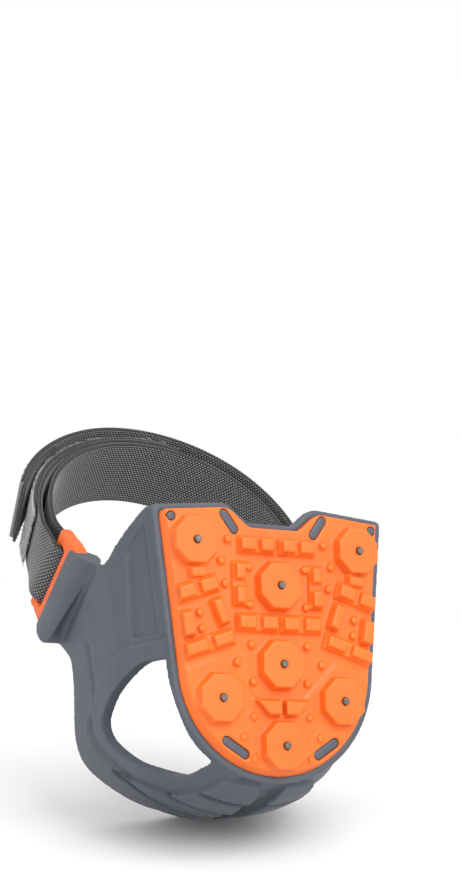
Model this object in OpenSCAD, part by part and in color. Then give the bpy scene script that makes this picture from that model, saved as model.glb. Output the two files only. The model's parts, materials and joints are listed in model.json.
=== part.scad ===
// Heel ice spur: an elastic heel cup with a studded tread plate and an instep strap.
// Millimetres. The heel seat is the XY plane, the toe points along -Y and the ankle is up.
// The origin lies on the seat, above the middle stud.

/* [Base pad] */
// Rear radius of the tread plate's outline, round the heel centre
plate_r = 34.7; // [32:0.1:39]
// Angle by which each flank spreads towards the toe
flank_flare = 6.4; // [2:0.2:8]
// From the heel centre to the plate's outer front corners
plate_front = 47.6; // [45:0.2:56]
// How much further forward the ears reach beside the notch
ear_reach = 2.2; // [0.5:0.1:4]
// Half the width of the front notch at its mouth
notch_mouth = 16.5; // [14:0.1:20]
// Half the width of the front notch at its floor
notch_floor = 9.2; // [6:0.1:12]
// Depth of the front notch
notch_depth = 6.1; // [3:0.1:8]
// Grey rim left round the plate
rim_w = 2; // [1.2:0.1:4]
// Thickness of the base pad
pad_t = 4; // [3.4:0.1:6]
// Depth of the pocket that takes the plate
pocket_depth = 0.6; // [0.4:0.1:1.2]

/* [Cup wall] */
// Wall thickness of the cup
wall_t = 3; // [2.2:0.1:4.5]
// How far the cup swells beyond the pad's outline
wall_bulge = 6.2; // [4:0.1:9]
// Height of the widest line of the cup
bulge_z = 26; // [20:0.5:34]
// How far the wall leans in again at its rim
rim_lean = 1.5; // [0:0.1:3]
// Rim height beside the ankle
rim_side_z = 56; // [50:0.5:64]
// Rim height at the back
rim_back_z = 65; // [58:0.5:72]
// Width of the raised lip in front of and behind each side window
lip_w = 5; // [3:0.1:6.5]
// Height of the lip's crown above each side window
lip_crown = 10; // [7:0.2:12]
// Height of the lip, and depth of the flank panel
lip_h = 0.9; // [0.5:0.1:1.6]
// Height of the tread lugs behind the heel
lug_h = 1.8; // [0.8:0.1:3]
// Height of one lug along the wall
lug_w = 9.4; // [4:0.1:11]
// Spacing of the lugs up the wall
lug_pitch = 12.3; // [11.5:0.1:14]
// Slope of the lugs
lug_angle = 9; // [0:1:30]

/* [Wings and strap loops] */
// Place of the strap edge of the sleeves, ahead of the heel centre
sleeve_y = 32.8; // [28:0.2:38]
// Height of the strap edge of the sleeves
sleeve_z = 59.2; // [56:0.2:66]
// Slope of the strap above the seat
strap_slope = 37; // [32:1:44]
// Thickness of the rolled sleeve
sleeve_t = 7.6; // [6:0.1:9]
// Width of the rolled sleeve
sleeve_w = 15.6; // [13:0.2:18]
// Thickness of the strap loop's plate
loop_t = 4.4; // [2.5:0.1:4.8]
// Radius of the loop's bar
bar_r = 2.5; // [1.8:0.1:3.5]
// Depth of the loop's slot, from the strip to the bar
slot_depth = 3.3; // [2.8:0.1:5]
// Width of the strip beside the slot
strip_w = 3.2; // [2:0.1:5]
// Width of the loop's arms
arm_w = 4.2; // [3:0.1:6]

/* [Strap] */
// Width of the webbing
strap_w = 25; // [18:0.5:28]
// Thickness of the webbing
web_t = 1.8; // [1.2:0.1:2.4]
// Thickness of the loop tape
loop_tape_t = 1.6; // [0.8:0.1:2]
// Thickness of the hook tape
hook_tape_t = 1.2; // [0.6:0.1:1.4]
// Straight length of each strap leg above the bars
leg_len = 11; // [8:0.5:20]
// How far the arch swells beyond the bars
arch_swell = 2.2; // [0.5:0.1:4]
// How far the sewn ply stands off the inner ply above the left bar
ply_open = 2.6; // [0:0.1:4]
// Angle of the arch where the sewn ply ends
sewn_end = 70; // [50:1:100]
// Angle of the arch where the free end bends away
flap_bend = 115; // [100:1:125]
// Angle of the arch where the free end runs straight
flap_leave = 152; // [144:1:164]
// Straight length of the free end
flap_len = 8; // [4:0.5:16]
// How far the hook tape reaches past the free end
tape_reach = 3.5; // [0:0.5:8]
// Angle of the arch where the hook tape starts
hook_start = 130; // [124:1:138]

/* [Tread and studs] */
// Height of the stud bosses above the plate's face
boss_h = 3.5; // [2.5:0.1:5]
// Width of a boss across its flats, at the top
boss_w = 14.4; // [12:0.1:16]
// How far the boss walls slope out, sideways
boss_slope = 0.7; // [0.3:0.1:1.6]
// Thickness of the plate
plate_t = 3.2; // [2.6:0.1:4]
// How far the plate's sides slope in towards its face
plate_draft = 1.3; // [0.6:0.1:2.4]
// Height of the tread blocks
block_h = 3; // [1.8:0.1:3.4]
// How far the block walls slope out, sideways
block_slope = 1; // [0.4:0.1:1.4]
// Height of the plinth that joins two blocks
plinth_h = 1.2; // [0.6:0.1:1.6]
// Height of the step round the rear bosses
step_h = 0.4; // [0.2:0.1:0.8]
// Radius of the small nubs
nub_r = 1.5; // [1:0.1:2]
// Height of the small nubs
nub_h = 1.4; // [0.8:0.1:2.2]
// Radius of a carbide tip
tip_r = 1.2; // [0.8:0.05:1.4]
// How far a tip stands out of its boss
tip_out = 1; // [0.6:0.1:3]
// Radius of a stud's shank
shank_r = 2.2; // [1.9:0.1:3]
// Radius of a stud's flange
flange_r = 4.2; // [3.4:0.1:5.5]
// Thickness of a stud's flange
flange_t = 1.2; // [0.8:0.1:1.5]
// Radius of the pegs that lock the plate
peg_r = 1.5; // [1.2:0.1:1.8]
// Length of the slotted pegs between their end centres
peg_span = 6; // [3:0.1:8]

/* [Hidden] */
$fn = 48;
fit = 0.1;
soft_gap = 0.3;
ply_gap = 0.2;
embed = 0.5;
far = 120;
curve_steps = 5;
tangent_sink = 3;

// Levels of the base, from the seat down
pocket_z = pocket_depth - pad_t;
face_z = pocket_z - plate_t;
boss_z = face_z - boss_h;
shank_end_z = boss_z + 0.8;
tip_seat_z = face_z + 0.5;

// Cup wall
pad_r = plate_r + rim_w;
foot_z = 1 - pad_t;
foot_r = pad_r - 1;
wall_r_max = pad_r + wall_bulge;
wall_top_z = sleeve_z + 18;
cup_front_y = 0.2 - plate_front - rim_w;
wall_low_steps = 5;
wall_high_steps = 4;

function wall_r(z) = z < bulge_z
    ? wall_r_max - (wall_r_max - foot_r) * pow((bulge_z - z) / (bulge_z - foot_z), 2)
    : wall_r_max - rim_lean * pow((z - bulge_z) / (rim_back_z - bulge_z), 2);

wall_levels = concat(
    [for (i = [0 : wall_low_steps]) foot_z + (bulge_z - foot_z) * i / wall_low_steps],
    [for (i = [1 : wall_high_steps]) bulge_z + (wall_top_z - bulge_z) * i / wall_high_steps]);

// Strap frame: u runs up the strap, w across it towards the heel
function strap_yz(u, w) = [
    -sleeve_y - u * cos(strap_slope) + w * sin(strap_slope),
    sleeve_z + u * sin(strap_slope) + w * cos(strap_slope)];

sleeve_mid = strap_yz(-sleeve_w / 2, 0);
function flank_x(r, y) = (r - y * sin(flank_flare)) / cos(flank_flare);
loop_x = flank_x(wall_r(sleeve_mid[1]), sleeve_mid[0]) - wall_t / 2 + 1.8;
bar_u = strip_w + slot_depth + bar_r;
slot_half = strap_w / 2 + 0.5;
loop_half = slot_half + arm_w;
tang_u = -9;

// Strap radii, all about the arch's centre
wrap_r = bar_r + ply_gap + web_t / 2;
inner_r = loop_x - wrap_r + arch_swell;
bar_out = loop_x + wrap_r;
arch_u = bar_u + leg_len;
peel_u = bar_u + soft_gap + web_t / 2;
open_from = 100;
settle = 75;
loop_tape_lift = web_t / 2 + fit + loop_tape_t / 2;
hook_tape_lift = loop_tape_lift + loop_tape_t / 2 + soft_gap + hook_tape_t / 2;
free_lift = hook_tape_lift + hook_tape_t / 2 + fit + web_t / 2;

// Radius of the sewn ply, which opens from the inner ply towards the left bar
function sewn_r(a) = inner_r + web_t + ply_gap
    + ply_open * pow(max(0, a - open_from) / (180 - open_from), 2);

// Radius of the free end between the right bar and its bend
free_r = sewn_r(flap_bend) + free_lift;
function return_r(a) = let (k = min(a / settle, 1)) bar_out + (free_r - bar_out) * k * k * (3 - 2 * k);
bend_gap = asin((soft_gap + web_t / 2) / free_r);

// Studs: name, place
stud_front_y = 9.7 - plate_front;
stud_front_x = flank_x(plate_r, stud_front_y) - 9.4;
stud_mid_y = 22.6 - plate_front;
stud_side_a = 63.3;
stud_side_x = (plate_r - 10) * sin(stud_side_a);
stud_side_y = (plate_r - 10) * cos(stud_side_a);
stud_back_y = plate_r - 9.2;
STUDS = [
    ["front_left", [-stud_front_x, stud_front_y]],
    ["front_right", [stud_front_x, stud_front_y]],
    ["fore", [0, stud_mid_y]],
    ["middle", [0, 0]],
    ["rear_left", [-stud_side_x, stud_side_y]],
    ["rear_right", [stud_side_x, stud_side_y]],
    ["heel", [0, stud_back_y]]];

// Tread blocks of one half: middle, length across, width along, turn. The first ten stand in pairs
row_y = stud_mid_y / 2 - 0.5;
slant = 18;
BLOCKS = [
    [[4, stud_front_y], 4.2, 3.4, 0],
    [[10.8, stud_front_y], 4.9, 3.4, 0],
    [[14, stud_mid_y - 4], 2.8, 4.4, 0],
    [[14, stud_mid_y + 3.6], 2.8, 4.6, 0],
    [[3.9, row_y], 4.9, 3.6, 0],
    [[11.9, row_y], 5.4, 3.6, 0],
    [[25.4, stud_mid_y + 0.9], 5.4, 3.6, slant],
    [[33.3, stud_mid_y + 3.4], 5.8, 3.6, slant],
    [[20.7, -7.3], 6.4, 3.2, slant],
    [[30, -4.3], 7.2, 3.2, slant],
    [[21.2, row_y - 3], 2.8, 7.2, slant + 4],
    [[33.2, row_y + 1.5], 4.2, 6.8, slant - 8],
    [[28.8, stud_front_y + 10], 4.8, 2.6, slant - 12]];
paired = 10;
plinth_ledge = 0.25;

// Plinth under two blocks that stand side by side
function plinth(a, b) = let (t = a[3], d = b[0] - a[0])
    [(a[0] + b[0]) / 2,
     abs(d[0] * cos(t) + d[1] * sin(t)) + (a[1] + b[1]) / 2,
     abs(d[1] * cos(t) - d[0] * sin(t)) + (a[2] + b[2]) / 2,
     t];

// Small nubs of one half
NUBS = [
    [17.6, stud_front_y - 1.3], [20.2, stud_front_y + 5.7], [10.3, stud_mid_y - 5.8],
    [19, stud_mid_y], [10.3, stud_mid_y + 6.3], [28.2, row_y - 2.4], [27.6, row_y + 2.6],
    [10.2, -6.1], [15.4, -0.4], [9.9, 5.6], [10.1, 16.4], [13.8, 22.7], [10.2, 29.4]];

// Front line of the step round the rear bosses, one half
STEP = [[3.5, 15.5], [20.5, -0.7], [22.8, -1.2], [plate_r + rim_w, 3.5]];

// Wedge block behind the middle boss
wedge_front_y = 10.7;
wedge_back_y = 16.6;
wedge_front_w = 9;
wedge_back_w = 3.6;
wedge_groove = 0.9;

STUD_NODES = [for (s = STUDS) str("stud_", s[0])];
TIP_NODES = [for (s = STUDS) str("tip_", s[0])];

orange = [1, 0.45, 0.16];
grey = [0.42, 0.44, 0.48];
steel = [0.72, 0.72, 0.7];
carbide = [0.45, 0.45, 0.44];
webbing = [0.3, 0.31, 0.32];
tape_grey = [0.6, 0.61, 0.62];

// Points of a curve that cuts a corner, starting and ending at the given distance from it
function corner(a, p, b, cut) = cut == 0 ? [p]
    : let (c = min(cut, 0.48 * norm(a - p), 0.48 * norm(b - p)),
           s = p + (a - p) * c / norm(a - p), e = p + (b - p) * c / norm(b - p))
      [for (i = [0 : curve_steps]) let (k = i / curve_steps)
          (1 - k) * (1 - k) * s + 2 * k * (1 - k) * p + k * k * e];

// A closed outline with each corner eased by its own cut
function eased(pts, cuts) = let (n = len(pts))
    [for (i = [0 : n - 1])
        each corner(pts[(i + n - 1) % n], pts[i], pts[(i + 1) % n], cuts[i])];

// A counter-clockwise outline moved outwards by d, corner by corner
function outward(a, b) = let (v = (b - a) / norm(b - a)) [v[1], -v[0]];
function grown(pts, d) = let (n = len(pts))
    [for (i = [0 : n - 1])
        let (p = outward(pts[(i + n - 1) % n], pts[i]), q = outward(pts[i], pts[(i + 1) % n]))
        pts[i] + d * (p + q) / (1 + p * q)];

function arc(c, r, from, to, steps) =
    [for (i = [0 : steps]) let (a = from + (to - from) * i / steps) c + r * [cos(a), sin(a)]];

// Outline of a strip of the given thickness along a path
function way(path, i) = let (a = path[max(i - 1, 0)], b = path[min(i + 1, len(path) - 1)])
    (b - a) / norm(b - a);
function side(path, d) =
    [for (i = [0 : len(path) - 1]) path[i] + d * [way(path, i)[1], -way(path, i)[0]]];
function strip(path, t) = let (far_side = side(path, -t / 2), n = len(path))
    concat(side(path, t / 2), [for (i = [1 : n]) far_side[n - i]]);

// Plan of the base, moved outwards from the plate's edge by d
module base_plan(d) {
    r = plate_r + d;
    tangent = r * cos(tangent_sink) * [cos(flank_flare), sin(flank_flare)];
    corner_x = flank_x(plate_r, -plate_front);
    half = [[corner_x, -plate_front],
            [notch_mouth, -plate_front - ear_reach],
            [notch_floor, notch_depth - plate_front - ear_reach]];
    top_x = plate_r * cos(flank_flare);
    top_y = plate_r * sin(flank_flare);
    outline = concat(
        [[-top_x, top_y]], [for (p = half) [-p[0], p[1]]],
        [half[2], half[1], half[0]], [[top_x, top_y]]);
    wide = grown(outline, d);
    last = len(wide) - 1;
    front = [for (i = [1 : last - 1]) wide[i]];
    closed = concat([[-tangent[0], tangent[1]]], front, [tangent]);
    union() {
        circle(r, $fn = 96);
        polygon(eased(closed, [0, 2, 2.5, 1.5, 1.5, 2.5, 2, 0]));
    }
}

module base_slab(d, low, high) {
    translate([0, 0, low]) linear_extrude(high - low) base_plan(d);
}

// A YZ outline pushed through the whole width
module through_x() {
    rotate([90, 0, 90]) linear_extrude(2 * far, center = true) children();
}

// A section swept round the heel, and straight on along both flanks
module sweep_back() {
    rotate([0, 0, flank_flare])
        rotate_extrude(angle = 180 - 2 * flank_flare, $fn = 96) children();
}

module sweep_flank() {
    rotate([0, 0, flank_flare]) rotate([90, 0, 0])
        linear_extrude(plate_front + ear_reach + rim_w + 8) children();
}

module heel_sweep() {
    sweep_back() children();
    for (m = [0, 1]) mirror([m, 0, 0]) sweep_flank() children();
}

// A layer of the cup wall, between two distances from its outer face
module shell_section(from, to) {
    last = len(wall_levels) - 1;
    polygon(concat(
        [for (z = wall_levels) [wall_r(z) + to, z]],
        [for (i = [0 : last]) let (z = wall_levels[last - i]) [wall_r(z) + from, z]]));
}

module shell(from, to) {
    heel_sweep() shell_section(from, to);
}

// Side outline of the cup: front edge, neck notch, wing, sleeve end, rim
neck = [-34.1, 21.5];
back_y = wall_r_max + lug_h + 5;
side_points = [
    [cup_front_y, foot_z - 1],
    [cup_front_y, 0],
    neck,
    strap_yz(-sleeve_w - 1, -25.9),
    strap_yz(-8.8, -22.8),
    strap_yz(-2, -18),
    strap_yz(-2, 16.5),
    strap_yz(-6.5, 17.6),
    strap_yz(-14, 14.6),
    strap_yz(-21.5, 12.2),
    [14, rim_side_z],
    [31, rim_back_z - 1.2],
    [back_y, rim_back_z],
    [back_y, foot_z - 1]];
side_cuts = [0, 2, 3, 4, 3, 0, 0, 2, 4, 5, 8, 8, 0, 0];

module side_outline() {
    polygon(eased(side_points, side_cuts));
}

// Side window, counter-clockwise as seen with the heel to the right
window_front_y = 0;
window_back_y = plate_r - 1.2;
window_mid_y = 0.52 * window_back_y;
window_top_z = 36.5;
under_pad = foot_z - 4;
window_points = [
    [window_front_y + 0.9, under_pad],
    [window_back_y - 5.2, under_pad],
    [window_back_y + 0.8, 13],
    [window_back_y - 7, 25.5],
    [window_mid_y, window_top_z],
    [window_front_y + 8, 23],
    [window_front_y + 0.9, 9]];
window_cuts = [0, 0, 8, 4, 6, 6, 5];

// Outer line of the lip round the window
lip_points = [
    [window_front_y - lip_w - 1, under_pad],
    [window_back_y - 0.4, under_pad],
    [window_back_y + lip_w, 10],
    [window_back_y + lip_w, 26],
    [window_mid_y + 5, window_top_z + lip_crown],
    [window_mid_y - 3, window_top_z + lip_crown],
    [window_front_y + 3 - lip_w, 26],
    [window_front_y - lip_w, 9]];
lip_cuts = [0, 0, 8, 9, 6, 6, 9, 6];

module window() {
    polygon(eased(window_points, window_cuts));
}

module window_lip() {
    difference() {
        polygon(eased(lip_points, lip_cuts));
        window();
    }
}

// Shallow panel on each flank beside the plate
panel_points = [
    [cup_front_y + 5, 1.2],
    [window_front_y - 7.4, 1.2],
    [window_front_y - 7.4, 12.3],
    [cup_front_y + 12, 9.4]];

module cup_wall() {
    difference() {
        intersection() {
            shell(-wall_t, 0);
            through_x() side_outline();
        }
        through_x() window();
        intersection() {
            shell(-lip_h, wall_t);
            through_x() polygon(eased(panel_points, [1, 1, 1, 1]));
        }
    }
}

module cup_lips() {
    intersection() {
        shell(-embed, lip_h);
        through_x() window_lip();
    }
}

// Sloping lugs behind the heel, in two mirrored ranks
lug_rows = 4;
lug_gap = 4.5;
lug_lean = 1.6;
lug_reach = 34;
lug_low_z = -0.6;

module lug(z) {
    rise = (lug_reach - lug_gap) * tan(lug_angle);
    rotate([90, 0, 180]) linear_extrude(far)
        polygon([[lug_gap, z], [lug_reach, z + rise], [lug_reach, z + rise + lug_w],
                 [lug_gap - lug_lean, z + lug_w]]);
}

module cup_lugs() {
    intersection() {
        sweep_back() shell_section(-embed, lug_h);
        for (i = [0 : lug_rows - 1], m = [0, 1]) mirror([m, 0, 0]) lug(lug_low_z + i * lug_pitch);
        through_x() difference() {
            translate([0, foot_z]) square([2 * far, rim_back_z - 14 - foot_z]);
            polygon(eased(lip_points, lip_cuts));
        }
    }
}

// Pegs that lock the plate: one round and one slotted in each ear, one slotted behind
ear_peg = [flank_x(plate_r, -plate_front) - 3.3, 2.1 - plate_front];
notch_peg = [notch_mouth - 0.1, 2.5 - plate_front];
notch_peg_turn = 54;
back_peg_a = 32.2;
back_peg_r = plate_r - 4;
back_peg_extra = 1.5;

module slot_2d(p, angle, span, r) {
    translate(p) rotate([0, 0, angle]) union() {
        square([span, 2 * r], center = true);
        for (s = [-1, 1]) translate([s * span / 2, 0]) circle(r);
    }
}

module pegs_2d(r) {
    for (m = [0, 1]) mirror([m, 0]) {
        translate(ear_peg) circle(r);
        slot_2d(notch_peg, -notch_peg_turn, peg_span, r);
        slot_2d(back_peg_r * [sin(back_peg_a), cos(back_peg_a)], -back_peg_a,
                peg_span + back_peg_extra, r);
    }
}

// Strap frame placed in space: x across, y up the strap, z towards the toe
module in_strap_frame() {
    translate([0, -sleeve_y, sleeve_z]) rotate([180 - strap_slope, 0, 0]) children();
}

// A (u, w) outline given a thickness along X, inside the strap frame
module strap_slab(pts, t) {
    rotate([0, 90, 0]) linear_extrude(t, center = true)
        polygon([for (p = pts) [p[1], p[0]]]);
}

sleeve_points = [
    [0, -17], [-8.8, -22.8], [-sleeve_w - 1, -25.9], [-sleeve_w + 0.6, -9.5],
    [-sleeve_w + 2.9, 10], [-11.8, 15.9], [-6, 17.8], [0, 17]];

module sleeve() {
    half = sleeve_t / 2;
    root = wall_t / 2;
    section = [
        [0.7 * half, 0], [half, -0.3 * sleeve_w], [half, -0.7 * sleeve_w],
        [root, 0.5 - sleeve_w], [root - 0.5, -sleeve_w - 3], [0.5 - root, -sleeve_w - 3],
        [-root, 0.5 - sleeve_w], [-half, -0.7 * sleeve_w], [-half, -0.3 * sleeve_w], [-0.7 * half, 0]];
    intersection() {
        strap_slab(eased(sleeve_points, [1.5, 3, 2, 4, 2, 3, 2, 1.5]), sleeve_t + 2);
        linear_extrude(far, center = true)
            polygon(eased(section, [1, 1.5, 2.5, 1, 0, 0, 1, 2.5, 1.5, 1]));
    }
}

// Strap loop: a plate with a slot, a round bar and a toe-end shoulder
loop_points = [
    [tang_u, 14], [0, loop_half - 0.4], [bar_u, loop_half - 0.4], [bar_u, 0.8 - loop_half],
    [strip_w / 2, -loop_half - 1.7], [-2, -loop_half - 2.4], [tang_u, -loop_half - 2.6]];

module loop_plate(gap) {
    strap_slab(grown_uw(loop_points, gap), loop_t + 2 * gap);
}

// The same outline moved outwards, in (u, w)
function grown_uw(pts, d) = let (g = grown([for (p = pts) [p[1], p[0]]], d)) [for (p = g) [p[1], p[0]]];

module strap_loop() {
    union() {
        difference() {
            loop_plate(0);
            strap_slab([[strip_w, slot_half], [bar_u + 1, slot_half],
                        [bar_u + 1, -slot_half], [strip_w, -slot_half]], 2 * loop_t);
        }
        translate([0, bar_u, -0.2]) cylinder(r = bar_r, h = 2 * loop_half - 1.6, center = true);
    }
}

module at_loops() {
    for (s = [-1, 1]) translate([s * loop_x, 0, 0]) in_strap_frame() children();
}

module heel_frame() {
    color(grey) difference() {
        union() {
            cup_wall();
            cup_lips();
            cup_lugs();
            at_loops() sleeve();
            difference() {
                base_slab(rim_w, -pad_t, 0);
                base_slab(0, -far, pocket_z);
            }
            translate([0, 0, face_z]) linear_extrude(pocket_z - face_z + embed) pegs_2d(peg_r);
        }
        at_loops() loop_plate(fit / 2);
    }
}

// A block whose four walls slope, standing down from the plate's face
module sloped_wall(w, slope, h) {
    rotate([90, 0, 0]) linear_extrude(far, center = true)
        polygon([[-w / 2 - slope * (h + embed) / h, embed], [w / 2 + slope * (h + embed) / h, embed],
                 [w / 2, -h], [-w / 2, -h]]);
}

module block(length, width, slope, h) {
    intersection() {
        sloped_wall(length, slope, h);
        rotate([0, 0, 90]) sloped_wall(width, slope, h);
    }
}

module boss() {
    intersection_for(a = [0 : 45 : 135]) rotate([0, 0, a]) sloped_wall(boss_w, boss_slope, boss_h);
}

module plinth_block(p) {
    share = plinth_h / block_h;
    wider = 2 * (block_slope * (1 - share) + plinth_ledge);
    translate(p[0]) rotate([0, 0, p[3]])
        block(p[1] + wider, p[2] + wider, block_slope * share, plinth_h);
}

module half_wedge() {
    lean = (wedge_front_w - wedge_back_w) / (wedge_back_y - wedge_front_y);
    length = wedge_back_y - wedge_front_y - 2 * block_slope;
    intersection() {
        translate([wedge_groove, 0, -block_h]) linear_extrude(block_h + embed)
            polygon([[0, wedge_front_y - 1], [wedge_front_w + lean, wedge_front_y - 1],
                     [wedge_back_w - lean, wedge_back_y + 1], [0, wedge_back_y + 1]]);
        translate([0, (wedge_front_y + wedge_back_y) / 2, 0]) rotate([0, 0, 90])
            sloped_wall(length, block_slope, block_h);
    }
}

module tread() {
    for (s = STUDS) translate(s[1]) boss();
    for (m = [0, 1]) mirror([m, 0, 0]) {
        for (b = BLOCKS) translate(b[0]) rotate([0, 0, b[3]])
            block(b[1], b[2], block_slope, block_h);
        for (i = [0 : 2 : paired - 2]) plinth_block(plinth(BLOCKS[i], BLOCKS[i + 1]));
        for (p = NUBS) translate([p[0], p[1], -nub_h])
            cylinder(r1 = 0.7 * nub_r, r2 = nub_r, h = nub_h + embed, $fn = 24);
        half_wedge();
    }
    translate([0, 0, -step_h]) linear_extrude(step_h + embed)
        polygon(concat([for (i = [1 : len(STEP)]) let (p = STEP[len(STEP) - i]) [-p[0], p[1]]],
                       STEP, [[far, far], [-far, far]]));
}

// What is cut from the plate's sides so that they slope, above the pad
module plate_slope() {
    edge = plate_r - fit;
    slope = plate_draft / (plate_t - pocket_depth);
    heel_sweep() polygon([
        [edge - plate_draft - embed * slope, face_z - embed], [edge + embed * slope, embed - pad_t],
        [edge + rim_w, embed - pad_t], [edge + rim_w, face_z - embed]]);
}

module tread_plate() {
    color(orange) difference() {
        union() {
            difference() {
                base_slab(-fit, face_z, pocket_z);
                plate_slope();
            }
            intersection() {
                translate([0, 0, face_z]) tread();
                base_slab(-fit - plate_draft - 0.2, boss_z - 1, pocket_z);
            }
        }
        translate([0, 0, boss_z]) linear_extrude(pocket_z - boss_z + embed) pegs_2d(peg_r + fit);
        for (s = STUDS) translate(s[1]) stud_hole();
    }
}

module stud_hole() {
    translate([0, 0, pocket_z - flange_t - fit]) cylinder(r = flange_r + fit, h = flange_t + 1);
    translate([0, 0, shank_end_z]) cylinder(r = shank_r + fit / 2, h = pocket_z - shank_end_z);
    translate([0, 0, boss_z - 1]) cylinder(r = tip_r + fit / 2, h = shank_end_z - boss_z + 1.5);
}

module stud(p) {
    color(steel) translate(p) difference() {
        union() {
            translate([0, 0, pocket_z - flange_t]) cylinder(r = flange_r, h = flange_t);
            translate([0, 0, shank_end_z]) cylinder(r = shank_r, h = pocket_z - shank_end_z - embed);
        }
        translate([0, 0, shank_end_z - 1]) cylinder(r = tip_r + fit / 4, h = tip_seat_z - shank_end_z + 1);
    }
}

module tip(p) {
    tip_z = boss_z - tip_out;
    nose = 0.3;
    color(carbide) translate(p) union() {
        translate([0, 0, tip_z]) cylinder(r1 = tip_r - nose, r2 = tip_r, h = nose);
        translate([0, 0, tip_z + nose]) cylinder(r = tip_r, h = tip_seat_z - tip_z - nose);
    }
}

// Strap pieces: flat outlines in the strap frame, given the webbing's width
arch = [0, arch_u];
left_bar = [-loop_x, bar_u];
right_bar = [loop_x, bar_u];

module band(pts) {
    in_strap_frame() linear_extrude(strap_w, center = true) polygon(pts);
}

function spread(from, to, steps) = [for (i = [0 : steps]) from + (to - from) * i / steps];
function on_arch(r, a) = arch + r * [cos(a), sin(a)];

main_path = concat(
    [for (a = spread(sewn_end, 180, 16)) on_arch(sewn_r(a), a)],
    arc(left_bar, wrap_r, 180, 360, 8),
    arc(arch, inner_r, 180, 0, 18),
    arc(right_bar, wrap_r, 180, 360, 8));

module strap_main() {
    color(webbing) band(strip(main_path, web_t));
}

module loop_tape() {
    path = [for (a = spread(sewn_end + 4, 180, 14)) on_arch(sewn_r(a) + loop_tape_lift, a)];
    color(tape_grey) band(strip(path, loop_tape_t));
}

// The free end follows the sewn ply, then leaves the arch along a straight line
leave = [-sin(flap_leave), cos(flap_leave)];
function free_path(lift, from, length) =
    let (bent = [for (a = spread(from, flap_leave, 8)) on_arch(sewn_r(a) + lift, a)])
    concat(bent, [bent[len(bent) - 1] + length * leave]);

module round_end(p) {
    in_strap_frame() translate([p[0], p[1], 0]) cylinder(d = web_t, h = strap_w, center = true);
}

module strap_return() {
    path = concat([[bar_out, peel_u]],
                  [for (a = spread(0, flap_bend - bend_gap, 14)) on_arch(return_r(a), a)]);
    color(webbing) union() {
        band(strip(path, web_t));
        round_end(path[0]);
    }
}

module strap_flap() {
    path = free_path(free_lift, flap_bend, flap_len);
    color(webbing) union() {
        band(strip(path, web_t));
        round_end(path[0]);
    }
}

module hook_tape() {
    color(tape_grey) band(strip(free_path(hook_tape_lift, hook_start, flap_len + tape_reach), hook_tape_t));
}

module strap_loop_at(s) {
    color(orange) translate([s * loop_x, 0, 0]) in_strap_frame() strap_loop();
}

heel_frame();
tread_plate();
for (s = STUDS) stud(s[1]);
for (s = STUDS) tip(s[1]);
strap_loop_at(-1);  // strap_loop_left
strap_loop_at(1);  // strap_loop_right
strap_main();
loop_tape();
strap_return();
strap_flap();
hook_tape();
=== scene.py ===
"""Heel ice spur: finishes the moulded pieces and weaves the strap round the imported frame."""
import json
import math

import bpy
import numpy as np
from mathutils import Matrix, Vector


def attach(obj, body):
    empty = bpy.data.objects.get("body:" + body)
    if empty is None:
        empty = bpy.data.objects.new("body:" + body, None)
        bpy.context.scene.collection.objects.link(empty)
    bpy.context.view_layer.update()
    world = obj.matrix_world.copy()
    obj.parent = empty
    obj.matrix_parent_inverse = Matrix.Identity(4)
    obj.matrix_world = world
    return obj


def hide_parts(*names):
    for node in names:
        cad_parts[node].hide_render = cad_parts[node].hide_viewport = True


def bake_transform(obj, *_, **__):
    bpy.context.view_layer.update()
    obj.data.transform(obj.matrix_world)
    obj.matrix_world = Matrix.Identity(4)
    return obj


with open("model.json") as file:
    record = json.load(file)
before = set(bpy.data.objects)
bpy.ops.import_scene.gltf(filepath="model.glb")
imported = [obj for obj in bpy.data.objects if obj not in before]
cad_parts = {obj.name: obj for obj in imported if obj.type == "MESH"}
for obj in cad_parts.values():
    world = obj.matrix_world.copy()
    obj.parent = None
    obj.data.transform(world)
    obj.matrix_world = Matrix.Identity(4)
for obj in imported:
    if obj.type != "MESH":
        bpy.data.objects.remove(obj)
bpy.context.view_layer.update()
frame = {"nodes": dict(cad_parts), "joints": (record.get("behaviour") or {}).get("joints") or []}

bl_info = {
    "name": "Heel Ice Spur",
    "version": (1, 0, 0),
    "blender": (4, 5, 0),
    "location": "3D View > Sidebar > Ice Spur",
    "description": "Moulded finishes, woven strap, tapes and studio stage for a heel ice spur",
    "category": "Add Mesh",
}

# One millimetre, in metres
MM = 0.001

NODES = frame["nodes"]
JOINTS = {joint["name"]: joint for joint in frame["joints"]}
STUD_NODES = [name for name in NODES if name.startswith("stud_")]
TIP_NODES = [name for name in NODES if name.startswith("tip_")]
LOOP_NODES = [name for name in NODES if name.startswith("strap_loop_")]

# The strap's own axes: across the foot, up the strap and along its width
ACROSS = np.array((1.0, 0.0, 0.0))
WIDTH = np.array(Vector(JOINTS["tail_peel"]["axis"]).normalized())
UP_STRAP = np.array((0.0, -WIDTH[2], WIDTH[1]))

# Where the free end peels off at the right bar, and where it bends again
PEEL = np.array(JOINTS["tail_peel"]["pos_m"])
UNBEND = np.array(JOINTS["tail_unbend"]["pos_m"])

# Step of the points along the strap's route, in millimetres
ROUTE_STEP = 0.3

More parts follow.
